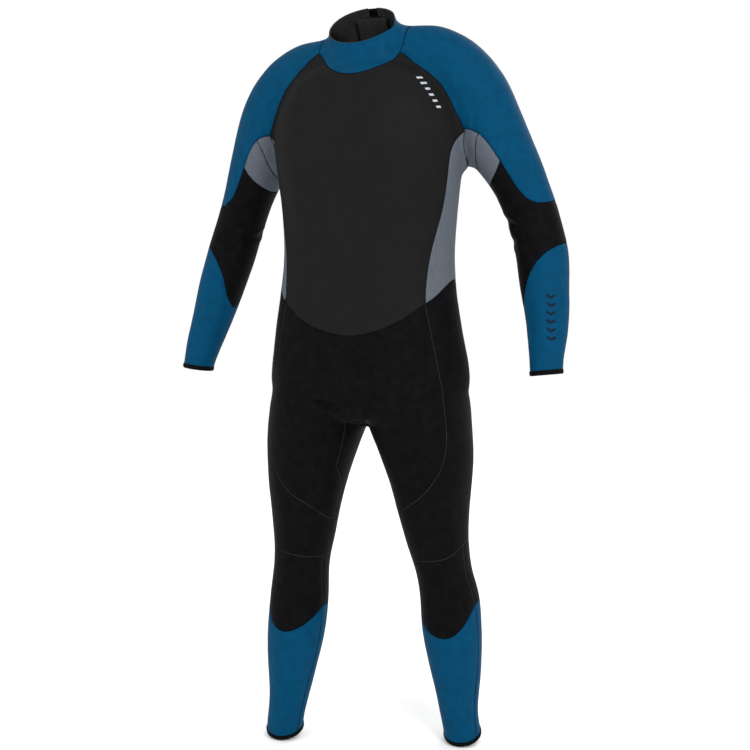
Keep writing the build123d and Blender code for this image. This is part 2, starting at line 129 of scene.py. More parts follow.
def natural_spline(t, values, at):
    """A natural cubic through values at t, read at other places."""
    gaps = np.diff(t)
    count = len(t)
    system = np.eye(count)
    right = np.zeros_like(values)
    for i in range(1, count - 1):
        system[i, i - 1:i + 2] = gaps[i - 1], 2 * (gaps[i - 1] + gaps[i]), gaps[i]
        slope = (values[i + 1] - values[i]) / gaps[i]
        right[i] = 6 * (slope - (values[i] - values[i - 1]) / gaps[i - 1])
    bend = np.linalg.solve(system, right)
    k = np.clip(np.searchsorted(t, at, side="right") - 1, 0, count - 2)
    gap = gaps[k][:, None]
    a = (t[k + 1] - at)[:, None] / gap
    b = 1 - a
    curve = a * values[k] + b * values[k + 1]
    return curve + ((a**3 - a) * bend[k] + (b**3 - b) * bend[k + 1]) * gap**2 / 6


def limb(stations):
    """Rings through stations, each a row of middle, across and depth vectors, in metres."""
    rows = np.array([np.concatenate(s) for s in stations], float)
    t = np.concatenate(([0], np.cumsum(np.linalg.norm(np.diff(rows[:, :3], axis=0), axis=1))))
    at = np.linspace(0, t[-1], int(t[-1] / STEP) + 1)
    smooth = natural_spline(t, rows, at)
    turn = np.linspace(0, 2 * pi, ROUND, endpoint=False)
    across = smooth[:, None, 3:6] * np.cos(turn)[None, :, None]
    depth = smooth[:, None, 6:9] * np.sin(turn)[None, :, None]
    return (smooth[:, None, :3] + across + depth) * MM


def closed_tube(rings):
    """Vertices and faces of rings skinned in order, with a fan at each end."""
    count, around, _ = rings.shape
    verts = np.vstack([rings.reshape(-1, 3), rings[0].mean(0)[None], rings[-1].mean(0)[None]])
    faces = []
    for i in range(count - 1):
        for k in range(around):
            m = (k + 1) % around
            faces.append((i * around + k, i * around + m, (i + 1) * around + m, (i + 1) * around + k))
    last = (count - 1) * around
    for k in range(around):
        m = (k + 1) % around
        faces.append((m, k, count * around))
        faces.append((last + k, last + m, count * around + 1))
    return verts, faces


def stride_at(side, z):
    """How far back the leg on one side has swung at a height, in millimetres."""
    return side * STRIDE * max(0.0, CROTCH_Z - z) / CROTCH_Z


def hanging(side, z):
    """The height of a point of one arm, with its share of the drop or of the rise."""
    drop = max(0.0, (ARM_DROP_TOP - z) / (ARM_DROP_TOP - ARM_DROP_END))
    rise = min(1.0, max(0.0, (z - ARM_DROP_TOP) / (SHOULDER_TOP - ARM_DROP_TOP)))
    return z - ARM_DROP[side] * drop + SHOULDER_RISE[side] * rise


def trunk_stations():
    rows = []
    for y, z, half_x, half_y, tilt in TRUNK:
        a = radians(tilt)
        depth = (0, half_y * cos(a), half_y * sin(a))
        rows.append(((0, y, z), (half_x, 0, 0), depth))
    up = np.array((0, -sin(NECK_TILT), cos(NECK_TILT)))
    middle, across, depth = rows[-1]
    rows.append((tuple(np.array(middle) + up * PAST), across, depth))
    return rows


def arm_stations(side):
    middles = [Vector((side * x, y, hanging(side, z))) for x, y, z, _, _ in ARM]
    wrist = Vector((side * WRIST_AXIS.x, WRIST_AXIS.y, WRIST_AXIS.z))
    rows = []
    for i, (_, _, _, half_x, half_y) in enumerate(ARM):
        along = (middles[min(i + 1, len(ARM) - 1)] - middles[max(i - 1, 0)]).normalized()
        if i == len(ARM) - 1:
            along = wrist
        back = (Vector((0, 1, 0)) - along * along.y).normalized()
        rows.append((middles[i], along.cross(back) * half_x, back * half_y))
    rows.append((middles[-1] + wrist * PAST, rows[-1][1], rows[-1][2]))
    return rows


def leg_stations(side):
    rows = []
    for i, (x, y, z, half_x, half_y) in enumerate(LEG):
        tilt = ANKLE_TILT if i == len(LEG) - 1 else 0.0
        depth = (0, half_y * cos(tilt), half_y * sin(tilt))
        rows.append(((side * x, y + stride_at(side, z), z), (half_x, 0, 0), depth))
    down = np.array((0, sin(ANKLE_TILT), -cos(ANKLE_TILT)))
    middle, across, depth = rows[-1]
    rows.append((tuple(np.array(middle) + down * PAST), across, depth))
    return rows


def outward(verts, faces):
    """The same faces, turned so that the solid's volume is positive."""
    volume = sum(
        float(np.dot(verts[f[0]], np.cross(verts[f[i]], verts[f[i + 1]])))
        for f in faces for i in range(1, len(f) - 1)
    )
    return faces if volume > 0 else [tuple(reversed(f)) for f in faces]


tubes = {"trunk": closed_tube(limb(trunk_stations()))}
for name, side in SIDES:
    tubes[f"{name}_arm"] = closed_tube(limb(arm_stations(side)))
    tubes[f"{name}_leg"] = closed_tube(limb(leg_stations(side)))
tubes = {name: (verts, outward(verts, faces)) for name, (verts, faces) in tubes.items()}
tube_trees = {name: BVHTree.FromPolygons(v.tolist(), f) for name, (v, f) in tubes.items()}

# ---- one smooth skin over trunk, arms and legs ----------------------------------------
VOXEL = 0.0042
JOIN_NEAR, JOIN_FAR = 0.006, 0.024  # how far from a second tube the smoothing of a join fades
FACING = 0.5  # the least cosine between the skin and the CAD face that it may move to
SEEN_ENOUGH = 0.05  # the least share of neighbours that met the CAD


def new_object(name, verts, faces, smooth=True):
    """A mesh object in the scene."""
    mesh = bpy.data.meshes.new(name)
    mesh.from_pydata([tuple(v) for v in verts], [], [tuple(int(i) for i in f) for f in faces])
    mesh.update()
    if smooth:
        mesh.shade_smooth()
    thing = bpy.data.objects.new(name, mesh)
    bpy.context.scene.collection.objects.link(thing)
    return thing


def united_skin():
    """All tubes as one closed mesh of even faces: points, polygons and edges."""
    verts, faces, offset = [], [], 0
    for tube_verts, tube_faces in tubes.values():
        verts.append(tube_verts)
        faces += [tuple(i + offset for i in f) for f in tube_faces]
        offset += len(tube_verts)
    rough = new_object("rough_skin", np.vstack(verts), faces)
    remesh = rough.modifiers.new("even", "REMESH")
    remesh.mode = "VOXEL"
    remesh.voxel_size = VOXEL
    result = rough.evaluated_get(bpy.context.evaluated_depsgraph_get()).to_mesh()
    points = np.empty(len(result.vertices) * 3)
    result.vertices.foreach_get("co", points)
    polygons = [tuple(p.vertices) for p in result.polygons]
    edges = np.empty(len(result.edges) * 2, int)
    result.edges.foreach_get("vertices", edges)
    bpy.data.objects.remove(rough)
    return points.reshape(-1, 3), polygons, edges.reshape(-1, 2)


def relax(points, edges, weight, rounds):
    """Laplacian smoothing, weighted per point."""
    count = len(points)
    ends = np.concatenate([edges[:, 0], edges[:, 1]])
    others = np.concatenate([edges[:, 1], edges[:, 0]])
    degree = np.bincount(ends, minlength=count)[:, None]
    for _ in range(rounds):
        total = np.column_stack(
            [np.bincount(ends, weights=points[others, k], minlength=count) for k in range(3)]
        )
        points = points + weight[:, None] * (total / degree - points)
    return points


def smoothstep(low, high, value):
    """0 below low, 1 above high, and smooth between."""
    t = np.clip((value - low) / (high - low), 0, 1)
    return t * t * (3 - 2 * t)


def vertex_normals(points, polygons):
    """The mean outward direction at each point."""
    quads = np.array([p if len(p) == 4 else (*p, p[2]) for p in polygons])
    face = np.cross(points[quads[:, 2]] - points[quads[:, 0]], points[quads[:, 3]] - points[quads[:, 1]])
    normals = np.zeros_like(points)
    for k in range(4):
        np.add.at(normals, quads[:, k], face)
    return normals / np.maximum(np.linalg.norm(normals, axis=1), 1e-12)[:, None]


ZIP_NODES = ("zip", "tooth", "patch", "tab", "flap")
PANELS = [n for n in frame["nodes"] if not any(word in n for word in (*ZIP_NODES, "hem"))]
panel_points, panel_faces, panel_of = [], [], []
for index, node in enumerate(PANELS):
    mesh = frame["nodes"][node].data
    first = len(panel_points)
    panel_points += [tuple(v.co) for v in mesh.vertices]
    for polygon in mesh.polygons:
        panel_faces.append(tuple(first + i for i in polygon.vertices))
        panel_of.append(index)
panel_tree = BVHTree.FromPolygons(panel_points, panel_faces)

AWAY, REACH = 0.024, 0.046  # where the search for the CAD's outer face starts and ends
points, polygons, edges = united_skin()
everywhere = np.ones(len(points))
points = relax(points, edges, everywhere * 0.5, 4)
to_second_tube = np.array([
    sorted(tree.find_nearest(Vector(p))[3] for tree in tube_trees.values())[1] for p in points
])
joined = 1 - smoothstep(JOIN_NEAR, JOIN_FAR, to_second_tube)  # 1 where two tubes meet
normals = vertex_normals(points, polygons)
gap = np.zeros(len(points))
seen = np.zeros(len(points))
for i, (point, normal) in enumerate(zip(points, normals)):
    start = Vector(point + normal * AWAY)
    hit, hit_normal, _, distance = panel_tree.ray_cast(start, Vector(-normal), REACH)
    if hit is not None and abs(hit_normal.dot(Vector(normal))) > FACING:
        gap[i] = AWAY - distance
        seen[i] = 1.0
# the gap is evened out over the skin, so that no small bump comes through
evened = relax(np.column_stack([gap * seen, seen, everywhere]), edges, everywhere * 0.6, 14)
share_seen = np.maximum(evened[:, 1], SEEN_ENOUGH)
gap = np.where(evened[:, 1] > SEEN_ENOUGH, evened[:, 0] / share_seen, 0.0)
points += normals * gap[:, None]
points = relax(points, edges, 0.5 * joined, 14)
points = relax(points, edges, everywhere * 0.3, 3)

# ---- folds and creases ----------------------------------------------------------------
def fold(points, start, end, width, depth):
    """A valley between two points with a low ridge on each side, fading at both ends."""
    a, b = np.array(start) * MM, np.array(end) * MM
    along = b - a
    t = ((points - a) @ along) / (along @ along)
    foot = a + np.clip(t, 0, 1)[:, None] * along
    far = np.linalg.norm(points - foot, axis=1) / (width * MM)
    fade = np.exp(-np.maximum(0, np.abs(t - 0.5) - 0.3) ** 2 / 0.045)
    return -depth * MM * fade * (np.exp(-far**2) - 0.55 * np.exp(-((far - 1.7) ** 2) / 0.55))


def ripples(points, wave, height, seed):
    """Slow, soft unevenness from a few sine waves in fixed directions."""
    random = np.random.default_rng(seed)
    total = np.zeros(len(points))
    for _ in range(7):
        direction = random.normal(size=3) * (1.0, 1.0, 1.7)
        direction /= np.linalg.norm(direction)
        length = wave * random.uniform(0.7, 1.5) * MM
        total += np.sin(points @ direction * 2 * pi / length + random.uniform(0, 2 * pi))
    return total * height * MM / 7


FOLDS = [  # in the crook of each elbow: start, end, width, depth; mirrored
    ((276, 34, 1046), (330, 36, 1066), 6.5, 3.0),
    ((268, 44, 1020), (322, 30, 1030), 6.0, 2.6),
    ((284, 30, 988), (338, 26, 1004), 6.0, 2.0),
]
ONE_SIDED = [  # start, end, width, depth, where the photograph shows them
    ((-201, -24, 1236), (-190, -14, 1204), 4.5, 2.6),
    ((-228, 8, 1168), (-214, 2, 1188), 5.0, 1.3),
    ((224, -10, 1232), (218, -8, 1203), 4.5, 2.2),
    ((-150, -52, 880), (-120, -86, 858), 6.5, 1.3),
    ((-158, -40, 905), (-146, -66, 896), 5.5, 1.2),
    ((262, 94, 1046), (284, 34, 1022), 9.0, 3.0),
    ((258, 96, 1074), (276, 44, 1062), 9.0, 2.4),
    ((268, 104, 1004), (290, 40, 990), 8.0, 2.4),
    ((-266, 104, 1012), (-282, 50, 1000), 7.0, 3.0),
    ((-70, -113, 690), (-6, -108, 686), 9.0, 9.0),
    ((-12, -110, 688), (34, -100, 664), 9.0, 9.0),
    ((50, -112, 690), (92, -104, 700), 8.0, 2.6),
    ((30, -96, 652), (56, -100, 616), 6.0, 1.2),
    ((-30, 112, 690), (-92, 122, 668), 8.0, 1.8),
    ((30, 114, 690), (92, 128, 668), 8.0, 1.8),
    ((100, 62, 372), (190, 66, 366), 6.0, 1.4),
    ((104, 66, 352), (184, 72, 350), 5.5, 1.2),
    ((-100, 18, 372), (-190, 22, 366), 6.0, 1.4),
    ((-104, 20, 352), (-184, 26, 350), 5.5, 1.2),
    ((-185, -66, 318), (-120, -78, 306), 7.0, 0.9),
    ((118, -34, 318), (184, -30, 306), 7.0, 0.9),
    ((-70, 128, 960), (70, 130, 948), 9.0, 1.6),
    ((-84, 124, 930), (-20, 124, 922), 8.0, 1.2),
]
normals = vertex_normals(points, polygons)
LONG_WAVE, SHORT_WAVE = 95, 42  # in millimetres
height = ripples(points, LONG_WAVE, 1.0, 3) + ripples(points, SHORT_WAVE, 0.35, 5)
for start, end, width, depth in FOLDS:
    height += fold(points, start, end, width, depth)
    flipped = [(-p[0], p[1], p[2]) for p in (start, end)]
    height += fold(points, *flipped, width, depth)
for start, end, width, depth in ONE_SIDED:
    height += fold(points, start, end, width, depth)
points += normals * height[:, None]

# ---- cut the openings -----------------------------------------------------------------
bm = bmesh.new()
for point in points:
    bm.verts.new(point)
bm.verts.ensure_lookup_table()
for polygon in polygons:
    bm.faces.new([bm.verts[i] for i in polygon])


def divide(near, origin, normal):
    """Divide the given faces along a plane."""
    near_edges = list({e for f in near for e in f.edges})
    near_verts = list({v for f in near for v in f.verts})
    bmesh.ops.bisect_plane(
        bm, geom=near + near_edges + near_verts, plane_co=origin, plane_no=normal
    )


def cut_off(middle, axis, reach, trim):
    """Cut away what lies past a plane, near its middle only."""
    origin = Vector(middle) * MM + axis * trim * MM
    near = [f for f in bm.faces if (f.calc_center_median() - origin).length < reach * MM]
    divide(near, origin, axis)
    past = [
        f for f in bm.faces
        if (f.calc_center_median() - origin).length < reach * MM
        and (f.calc_center_median() - origin).dot(axis) > 0
    ]
    bmesh.ops.delete(bm, geom=past, context="FACES")


NECK_AXIS = Vector((0, -sin(NECK_TILT), cos(NECK_TILT)))
NECK_MIDDLE = (0, TRUNK[-1][0], TRUNK[-1][1])
NECK_REACH, LIMB_REACH = 110, 60  # how far round an opening the cut goes
LIMB_TRIM = -1.0  # the hem closes the last millimetre
cut_off(NECK_MIDDLE, NECK_AXIS, NECK_REACH, NECK_END)
openings = {}
for name, side in SIDES:
    wrist = Vector((side * WRIST_AXIS.x, WRIST_AXIS.y, WRIST_AXIS.z))
    x, y, z = ARM[-1][:3]
    openings[f"{name}_wrist_hem"] = ((side * x, y, hanging(side, z)), wrist)
    ankle = Vector((0, sin(ANKLE_TILT), -cos(ANKLE_TILT)))
    x, y, z = LEG[-1][:3]
    openings[f"{name}_ankle_hem"] = ((side * x, y + stride_at(side, z), z), ankle)
for middle, axis in openings.values():
    cut_off(middle, axis, LIMB_REACH, LIMB_TRIM)

# ---- the slot for the zip -------------------------------------------------------------
SLOT_FRONT_Y, SLOT_BELOW, SLOT_BESIDE = 0.03, 8, 0.02  # where faces near the slot are looked for


def slot_faces():
    """The faces of the back in and beside the slot."""
    return [
        f for f in bm.faces
        if f.calc_center_median().y > SLOT_FRONT_Y
        and f.calc_center_median().z > (SLOT_LOW_Z - SLOT_BELOW) * MM
        and abs(f.calc_center_median().x) < SLOT_BESIDE
    ]


for x in (SLOT_HALF, -SLOT_HALF):
    divide(slot_faces(), (x * MM, 0, 0), (1, 0, 0))
divide(slot_faces(), (0, 0, SLOT_LOW_Z * MM), (0, 0, 1))
inside = [
    f for f in slot_faces()
    if abs(f.calc_center_median().x) < SLOT_HALF * MM and f.calc_center_median().z > SLOT_LOW_Z * MM
]
bmesh.ops.delete(bm, geom=inside, context="FACES")

# ---- seams: each vertex belongs to the CAD panel it lies on ---------------------------
def panel_at(point):
    return panel_of[panel_tree.find_nearest(point)[2]]


bm.verts.ensure_lookup_table()
bm.verts.index_update()
skin_tree = BVHTree.FromBMesh(bm)
label = {v: panel_at(v.co) for v in bm.verts}


def crossing(edge):
    """The place on an edge where one panel meets the next, as a fraction of its length."""
    a, b = edge.verts
    low, high = 0.0, 1.0
    for _ in range(HALVINGS):
        middle = (low + high) / 2
        if panel_at(a.co.lerp(b.co, middle)) == label[a]:
            low = middle
        else:
            high = middle
    return (low + high) / 2


SNAP = 0.3  # a vertex this near a seam, as a share of its edge, is moved onto it
HALVINGS = 9
SEAM_ROUNDS = 10  # rounds of smoothing along each seam
moves = {}
for edge in bm.edges:
    a, b = edge.verts
    if label[a] != label[b]:
        t = crossing(edge)
        place = a.co.lerp(b.co, t)
        for vertex, share in ((a, t), (b, 1 - t)):
            if share < SNAP and (vertex not in moves or share < moves[vertex][0]):
                moves[vertex] = (share, place)
on_seam = set(moves)
for vertex, (_, place) in moves.items():
    vertex.co = place
for edge in list(bm.edges):
    a, b = edge.verts
    if a not in on_seam and b not in on_seam and label[a] != label[b]:
        t = crossing(edge)
        _, vertex = bmesh.utils.edge_split(edge, a, t)
        on_seam.add(vertex)
        label[vertex] = label[a]


def split_face(face):
    """Split a face so that each part holds vertices of one panel only."""
    loop = list(face.verts)
    seams = [i for i, v in enumerate(loop) if v in on_seam]
    panels = {label[v] for v in loop if v not in on_seam}
    if len(panels) < 2 or len(seams) < 2:
        return
    count = len(loop)
    for k, i in enumerate(seams):
        j = seams[(k + 1) % len(seams)]
        if (j - i) % count > 1 and (i - j) % count > 1:
            a, b = loop[i], loop[j]
            new_face, _ = bmesh.utils.face_split(face, a, b)
            split_face(face)
            if new_face is not None:
                split_face(new_face)
            return


for face in list(bm.faces):
    split_face(face)


def face_panel(face):
    votes = [label[v] for v in face.verts if v not in on_seam]
    return max(set(votes), key=votes.count) if votes else panel_at(face.calc_center_median())


panel_of_face = {f: face_panel(f) for f in bm.faces}
seam_edges = [
    e for e in bm.edges
    if len(e.link_faces) == 2 and panel_of_face[e.link_faces[0]] != panel_of_face[e.link_faces[1]]
]
seam_links = {}
for edge in seam_edges:
    a, b = edge.verts
    seam_links.setdefault(a, []).append(b)
    seam_links.setdefault(b, []).append(a)
for _ in range(SEAM_ROUNDS):
    fresh = {
        v: v.co * 0.4 + (links[0].co + links[1].co) * 0.3
        for v, links in seam_links.items() if len(links) == 2
    }
    for vertex, place in fresh.items():
        vertex.co = skin_tree.find_nearest(place)[0]

# ---- seam lines as chains of points ---------------------------------------------------
def pair_of(edge):
    return frozenset(PANELS[panel_of_face[f]] for f in edge.link_faces)


def chains():
    """Every seam as (pair of panels, points, closed)."""
    unused = set(seam_edges)
    found = []
    by_vertex = {}
    for edge in seam_edges:
        for vertex in edge.verts:
            by_vertex.setdefault(vertex, []).append(edge)

    def walk(vertex, edge):
        pair = pair_of(edge)
        line = [vertex]
        while edge is not None:
            unused.discard(edge)
            vertex = edge.other_vert(vertex)
            line.append(vertex)
            onward = [e for e in by_vertex[vertex] if e in unused and pair_of(e) == pair]
            edge = onward[0] if len(by_vertex[vertex]) == 2 and onward else None
        return pair, line

    ends = [v for v, links in by_vertex.items() if len(links) != 2]
    ends.sort(key=lambda v: v.index)
    for vertex in ends:
        for edge in by_vertex[vertex]:
            if edge in unused:
                found.append(walk(vertex, edge))
    for edge in seam_edges:
        if edge in unused:
            found.append(walk(edge.verts[0], edge))
    return [(pair, [v.co.copy() for v in line]) for pair, line in found]


bm.verts.index_update()
seam_chains = chains()
GROOVE = 0.0007  # how deep a seam lies
bm.normal_update()
for vertex in seam_links:
    vertex.co -= vertex.normal * GROOVE
bm.normal_update()
bm.verts.index_update()

# ---- materials ------------------------------------------------------------------------
def material(name, colour, roughness, gloss=0.035, coat=0.0, metallic=0.0):
    """A Principled material with its nodes, links, shader and object coordinates."""
    made = bpy.data.materials.new(name)
    made.use_nodes = True
    nodes, links = made.node_tree.nodes, made.node_tree.links
    shader = nodes["Principled BSDF"]
    shader.inputs["Base Color"].default_value = (*colour, 1)
    shader.inputs["Roughness"].default_value = roughness
    shader.inputs["Metallic"].default_value = metallic
    shader.inputs["Specular IOR Level"].default_value = gloss
    shader.inputs["Coat Weight"].default_value = coat
    coordinates = nodes.new("ShaderNodeTexCoord")
    return made, nodes, links, shader, coordinates.outputs["Object"]


def stretched(nodes, links, source, scale):
    """Coordinates scaled along each axis."""
    mapping = nodes.new("ShaderNodeMapping")
    mapping.inputs["Scale"].default_value = scale
    links.new(source, mapping.inputs["Vector"])
    return mapping.outputs["Vector"]


def noise(nodes, links, source, scale, detail=3.0):
    texture = nodes.new("ShaderNodeTexNoise")
    texture.inputs["Scale"].default_value = scale
    texture.inputs["Detail"].default_value = detail
    links.new(source, texture.inputs["Vector"])
    return texture.outputs["Fac"]


def mottled(nodes, links, shader, factor, dark, light, low=0.35, high=0.65):
    """Colour between dark and light by a factor."""
    ramp = nodes.new("ShaderNodeValToRGB")
    ramp.color_ramp.elements[0].position = low
    ramp.color_ramp.elements[0].color = (*dark, 1)
    ramp.color_ramp.elements[1].position = high
    ramp.color_ramp.elements[1].color = (*light, 1)
    links.new(factor, ramp.inputs["Fac"])
    links.new(ramp.outputs["Color"], shader.inputs["Base Color"])


def bumped(nodes, links, shader, factor, distance, strength=1.0):
    bump = nodes.new("ShaderNodeBump")
    bump.inputs["Distance"].default_value = distance
    bump.inputs["Strength"].default_value = strength
    links.new(factor, bump.inputs["Height"])
    previous = shader.inputs["Normal"].links
    if previous:
        links.new(previous[0].from_socket, bump.inputs["Normal"])
    links.new(bump.outputs["Normal"], shader.inputs["Normal"])


def jersey(name, dark, light, streaks=False):
    """Knitted nylon: fine courses of loops over a slightly uneven ground."""
    made, nodes, links, shader, place = material(name, light, 0.62)
    tone = stretched(nodes, links, place, (1, 1, 0.06)) if streaks else place
    mottled(nodes, links, shader, noise(nodes, links, tone, 420 if streaks else 60), dark, light)
    courses = nodes.new("ShaderNodeTexWave")
    courses.wave_type = "BANDS"
    courses.bands_direction = "Z"
    courses.inputs["Scale"].default_value = 260
    courses.inputs["Distortion"].default_value = 1.2
    courses.inputs["Detail"].default_value = 2
    courses.inputs["Detail Scale"].default_value = 3
    links.new(place, courses.inputs["Vector"])
    loops = nodes.new("ShaderNodeTexVoronoi")
    loops.inputs["Scale"].default_value = 900
    links.new(stretched(nodes, links, place, (1, 1, 0.7)), loops.inputs["Vector"])
    bumped(nodes, links, shader, courses.outputs["Fac"], 0.00012, 0.6)
    bumped(nodes, links, shader, loops.outputs["Distance"], 0.0002, 0.5)
    return made


def smooth_skin():
    """Smooth skin neoprene: closed, dull rubber with very fine pores."""
    made, nodes, links, shader, place = material("smooth_skin", (0.018, 0.018, 0.018), 0.58)
    ground = noise(nodes, links, place, 35, 4)
    mottled(nodes, links, shader, ground, (0.0078, 0.0078, 0.0079), (0.0088, 0.0088, 0.0087))
    pores = nodes.new("ShaderNodeTexVoronoi")
    pores.inputs["Scale"].default_value = 1500
    links.new(place, pores.inputs["Vector"])
    bumped(nodes, links, shader, pores.outputs["Distance"], 0.00008, 0.5)
    bumped(nodes, links, shader, noise(nodes, links, place, 500), 0.00006, 0.6)
    return made


def woven(name, dark, light, pitch):
    """A tightly woven tape."""
    made, nodes, links, shader, place = material(name, light, 0.7)
    mottled(nodes, links, shader, noise(nodes, links, place, 300), dark, light)
    for axis in ("X", "Z"):
        threads = nodes.new("ShaderNodeTexWave")
        threads.bands_direction = axis
        threads.inputs["Scale"].default_value = 1.0 / (pitch * 20)
        threads.inputs["Distortion"].default_value = 0.4
        links.new(place, threads.inputs["Vector"])
        bumped(nodes, links, shader, threads.outputs["Fac"], 0.00012, 0.7)
    return made


def hard(name, dark, light, roughness, metallic=0.0, gloss=0.35, coat=0.0):
    """Moulded plastic or painted metal with faint wear."""
    made, nodes, links, shader, place = material(name, light, roughness, gloss, coat, metallic)
    mottled(nodes, links, shader, noise(nodes, links, place, 180, 5), dark, light)
    bumped(nodes, links, shader, noise(nodes, links, place, 900), 0.00004, 0.5)
    return made


FINISH = {
    "smooth_skin": smooth_skin(),
    "black_jersey": jersey("black_jersey", (0.0017, 0.0017, 0.0021), (0.0032, 0.0032, 0.0039)),
    "blue_jersey": jersey("blue_jersey", (0.0001, 0.040, 0.094), (0.0001, 0.048, 0.108)),
    "grey_jersey": jersey("grey_jersey", (0.078, 0.091, 0.110), (0.092, 0.106, 0.127), True),
    "binding": woven("binding", (0.0015, 0.0015, 0.0015), (0.003, 0.003, 0.0032), 0.0006),
    "zip_tape": woven("zip_tape", (0.003, 0.003, 0.0032), (0.006, 0.006, 0.0064), 0.0005),
    "zip_teeth": hard("zip_teeth", (0.006, 0.006, 0.0065), (0.012, 0.012, 0.013), 0.35),
    "zip_metal": hard("zip_metal", (0.020, 0.020, 0.022), (0.045, 0.045, 0.048), 0.32, 0.6, 0.35, 0.2),
    "hook_and_loop": jersey("hook_and_loop", (0.003, 0.003, 0.003), (0.008, 0.008, 0.008)),
    "lining": jersey("lining", (0.017, 0.017, 0.018), (0.023, 0.023, 0.0245)),
    "dark_thread": woven("dark_thread", (0.0005, 0.0025, 0.005), (0.001, 0.005, 0.009), 0.0003),
    "grey_thread": woven("grey_thread", (0.022, 0.022, 0.024), (0.040, 0.040, 0.043), 0.0003),
    "chest_print": hard("chest_print", (0.36, 0.39, 0.44), (0.42, 0.45, 0.50), 0.5, 0.0, 0.1),
    "arm_print": hard("arm_print", (0.0004, 0.006, 0.012), (0.0008, 0.010, 0.018), 0.5, 0.0, 0.06),
}
SLOT_OF = {part["node"]: part["material_slot"] for part in frame["record"]["subparts"]}
BODY_OF = {
    node: body for body, nodes in frame["record"]["behaviour"]["bodies"].items() for node in nodes
}

# ---- which limb each piece belongs to -------------------------------------------------
ARM_WORDS = ("sleeve", "armpit", "underarm", "elbow", "forearm", "wrist")
LEG_WORDS = ("thigh", "knee", "shin", "calf", "ankle")


def limb_of(*nodes):
    """The limb a piece belongs to, or the torso."""
    for node in nodes:
        side = node.split("_")[0]
        if any(word in node for word in ARM_WORDS):
            return f"{side}_arm"
        if any(word in node for word in LEG_WORDS):
            return f"{side}_leg"
    return "torso"


def hold(piece, limb_name):
    """Ride on the torso, or stay in place with the transform baked into the mesh."""
    if limb_name == "torso":
        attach(piece, "torso")
    else:
        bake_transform(piece)


# ---- the panels -----------------------------------------------------------------------
THICK = 0.0026  # a little under the CAD's 3 mm, so that the lining stays inside the wall


def panel_object(node, faces):
    """A panel as a thin closed sheet: outer face, lining and the cut edge between them."""
    verts = []
    number = {}
    for face in faces:
        for vertex in face.verts:
            if vertex not in number:
                number[vertex] = len(verts)
                verts.append(vertex)
    count = len(verts)
    outer = [tuple(v.co) for v in verts]
    inner = [tuple(v.co - v.normal * THICK) for v in verts]
    polygons = [tuple(number[v] for v in face.verts) for face in faces]
    back = [tuple(count + i for i in reversed(p)) for p in polygons]
    inside = set(faces)
    rim = []
    for face in faces:
        for corner in face.loops:
            if sum(1 for f in corner.edge.link_faces if f in inside) == 1:
                a, b = number[corner.vert], number[corner.link_loop_next.vert]
                rim.append((b, a, a + count, b + count))
    piece = new_object(f"{node}_cloth", outer + inner, polygons + back + rim)
    piece.data.materials.append(FINISH[SLOT_OF[node]])
    piece.data.materials.append(FINISH["lining"])
    for polygon in piece.data.polygons[len(polygons):]:
        polygon.material_index = 1
    return piece


SLICE = 0.015  # the height of one slice of a panel, in metres
RUNS = {"collar": (0, -0.57, 0.82), "crotch_gusset": (0, 1, 0)}  # the way a panel's cut runs
SLEEVE_RUN = (0.5, 0, -0.87)


def flat_size(node, faces):
    """The width and length of the cut of a panel and its area, measured slice by slice.

    The sheet is divided into slices along the way it runs, which is straight down for most. The
    width is the most cloth that a slice holds and the length is that of the middle line through
    the slices, or more where that rectangle would be too small for the cut.
    """
    areas = np.array([f.calc_area() for f in faces])
    centres = np.array([f.calc_center_median() for f in faces])
    face_normals = np.array([f.normal for f in faces])
    run = np.array(RUNS.get(node, (0, 0, -1)), float)
    if node.endswith("shoulder_sleeve"):
        run = np.array(SLEEVE_RUN) * (1 if node.startswith("left") else -1, 1, 1)
    run /= np.linalg.norm(run)
    along = centres @ run
    slices = ((along - along.min()) / SLICE).astype(int)
    in_plane = np.sqrt(np.clip(1 - (face_normals @ run) ** 2, 0, 1))
    width = np.bincount(slices, areas * in_plane).max() / SLICE
    cloth = np.bincount(slices, areas)
    middles = np.column_stack([np.bincount(slices, areas * centres[:, k]) for k in range(3)])
    middles = middles[cloth > 0] / cloth[cloth > 0, None]
    length = SLICE + np.linalg.norm(np.diff(middles, axis=0), axis=1).sum()
    area = areas.sum()
    length = max(length, area / width)
    return (round(min(width, length), 3), round(max(width, length), 3)), round(area, 4)


by_panel = {}
for face, index in panel_of_face.items():
    by_panel.setdefault(PANELS[index], []).append(face)
for node, faces in by_panel.items():
    faces.sort(key=lambda f: tuple(f.calc_center_median()))
    piece = panel_object(node, faces)
    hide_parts(node)
    flat, area = flat_size(node, faces)
    hold(piece, limb_of(node))


# ---- bound edges ----------------------------------------------------------------------
def opening_loop(middle, axis):
    """The outline of a limb at its opening, as outer points and outward directions."""
    origin = Vector(middle) * MM - axis * 1.0 * MM
    side = Vector((0, 1, 0)) - axis * axis.y
    side.normalize()
    other = axis.cross(side)
    loop = []
    for k in range(ROUND):
        turn = 2 * pi * k / ROUND
        ray = side * cos(turn) + other * sin(turn)
        hit = skin_tree.ray_cast(origin - axis * 0.0005, ray, 0.08)[0]
        loop.append((hit, ray))
    return loop


